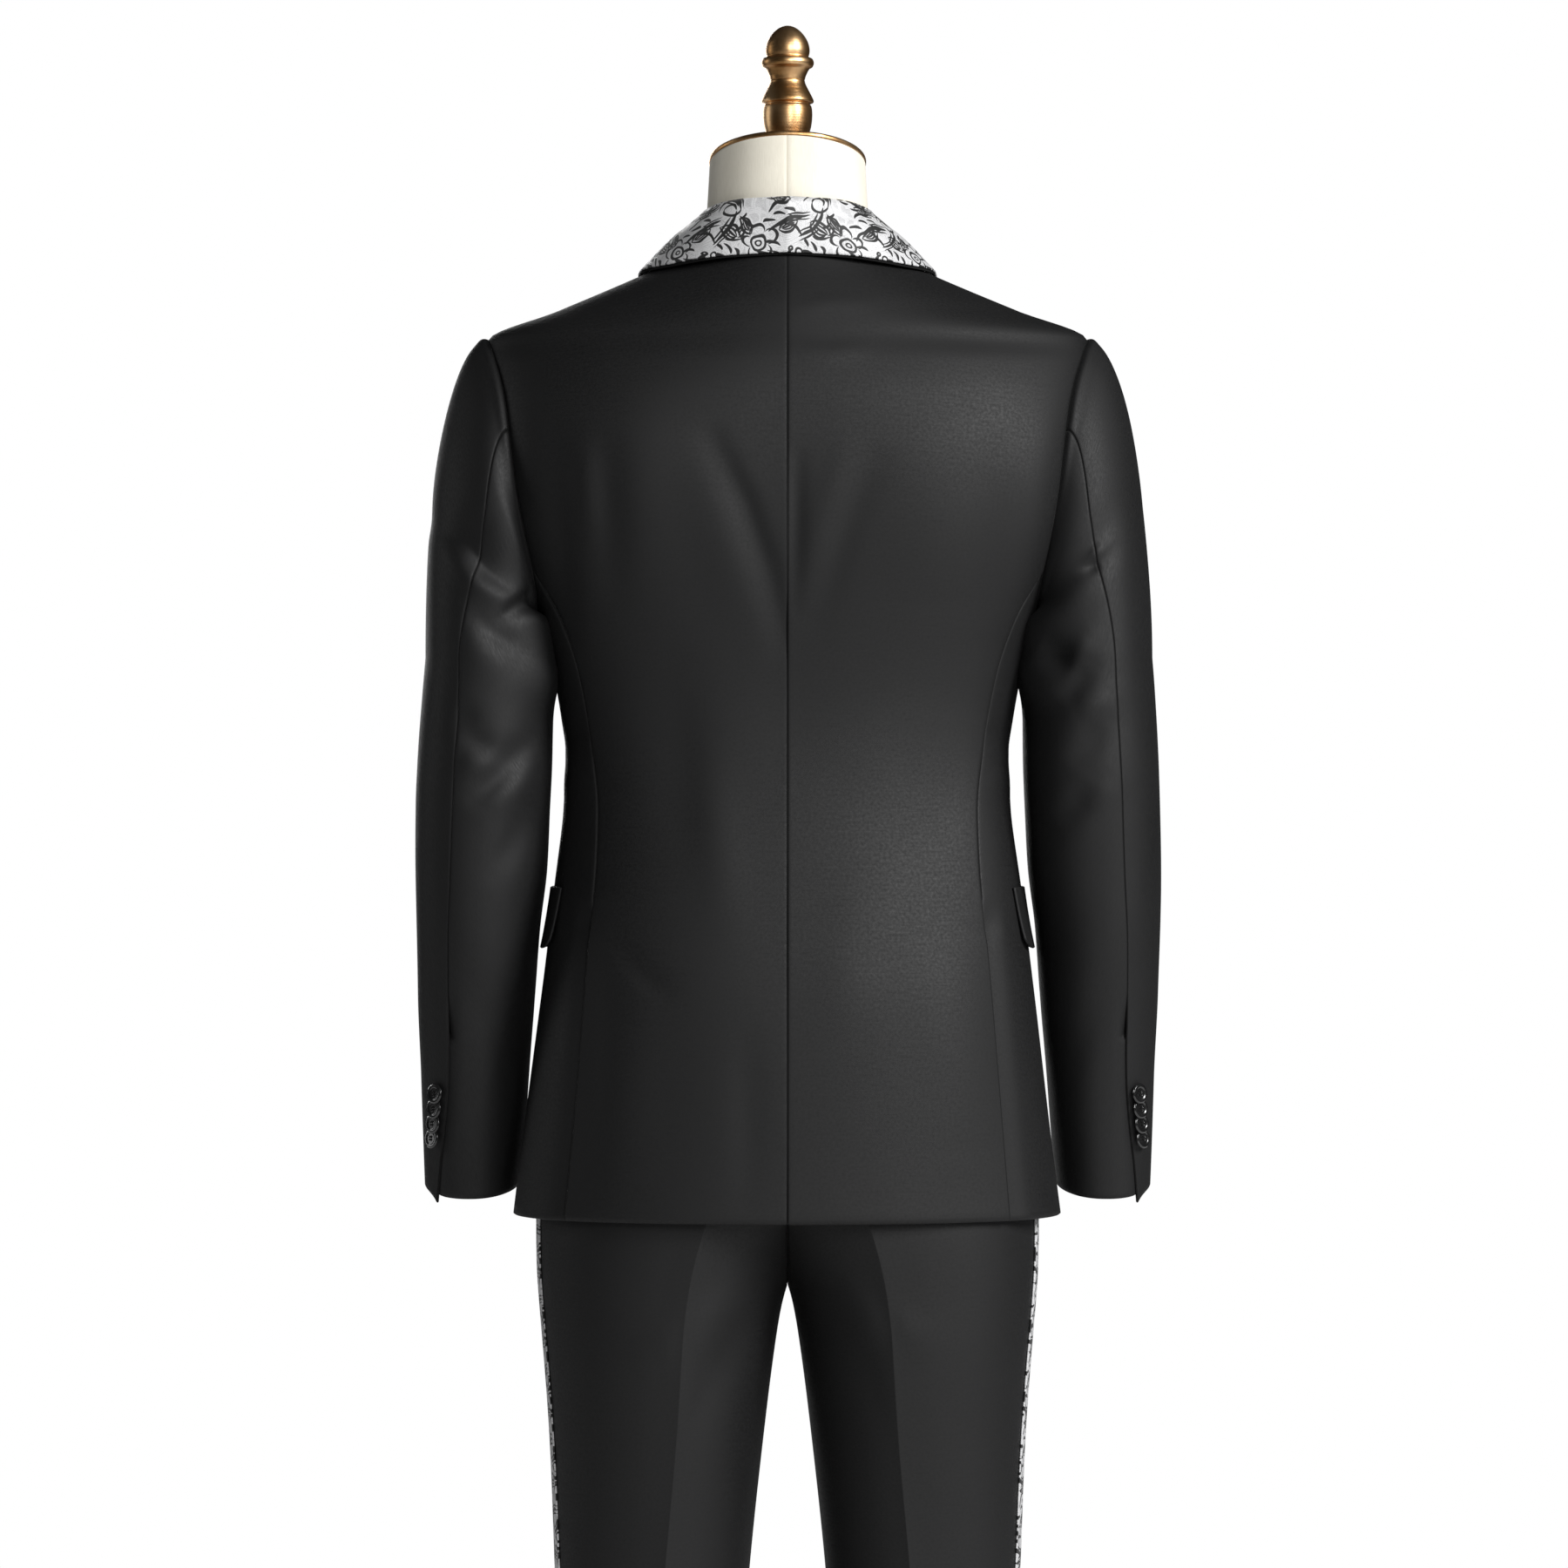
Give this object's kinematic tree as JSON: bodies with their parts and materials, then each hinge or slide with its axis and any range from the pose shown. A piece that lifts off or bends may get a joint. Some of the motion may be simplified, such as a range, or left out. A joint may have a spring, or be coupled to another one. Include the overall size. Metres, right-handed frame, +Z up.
{
  "type": "tuxedo on dress form",
  "caption": "Slim black tuxedo jacket and trousers with patterned collar and side stripes, standing on a limbless dress form with neck cap, finial, poles and a round base.",
  "frame": {"origin": "centre of the round base, on the floor", "axes": "+X to the wearer's left, +Y to the wearer's back, +Z up"},
  "size_m": [0.556, 0.44, 1.734],
  "materials": {
    "wool": "fine worsted with a slight satin sheen",
    "felt": "dull under collar felt",
    "brocade": "silver-grey satin brocade with black scrolling flowers",
    "button": "polished black",
    "linen": "cream linen cover",
    "brass": "brushed antique brass"
  },
  "bodies": {
    "root": {"jacket_back_left": "wool", "jacket_back_right": "wool", "jacket_side_left": "wool", "jacket_side_right": "wool", "jacket_front_left": "wool", "jacket_front_right": "wool", "top_sleeve_left": "wool", "top_sleeve_right": "wool", "under_sleeve_left": "wool", "under_sleeve_right": "wool", "lapel_left": "brocade", "lapel_right": "brocade", "pocket_flap_left": "wool", "pocket_flap_right": "wool", "trouser_back_left": "wool", "trouser_back_right": "wool", "trouser_front_left": "wool", "trouser_front_right": "wool", "waistband_left": "wool", "waistband_right": "wool", "side_stripe_left": "brocade", "side_stripe_right": "brocade", "pole_left": "brass", "pole_right": "brass", "cuff_button_1_left": "button", "cuff_button_1_right": "button", "cuff_button_2_left": "button", "cuff_button_2_right": "button", "cuff_button_3_left": "button", "cuff_button_3_right": "button", "cuff_button_4_left": "button", "cuff_button_4_right": "button", "collar": "brocade", "under_collar": "felt", "front_button": "button", "dress_form": "linen", "neck_cap": "brass", "finial": "brass", "base": "brass"}
  },
  "joints": []
}
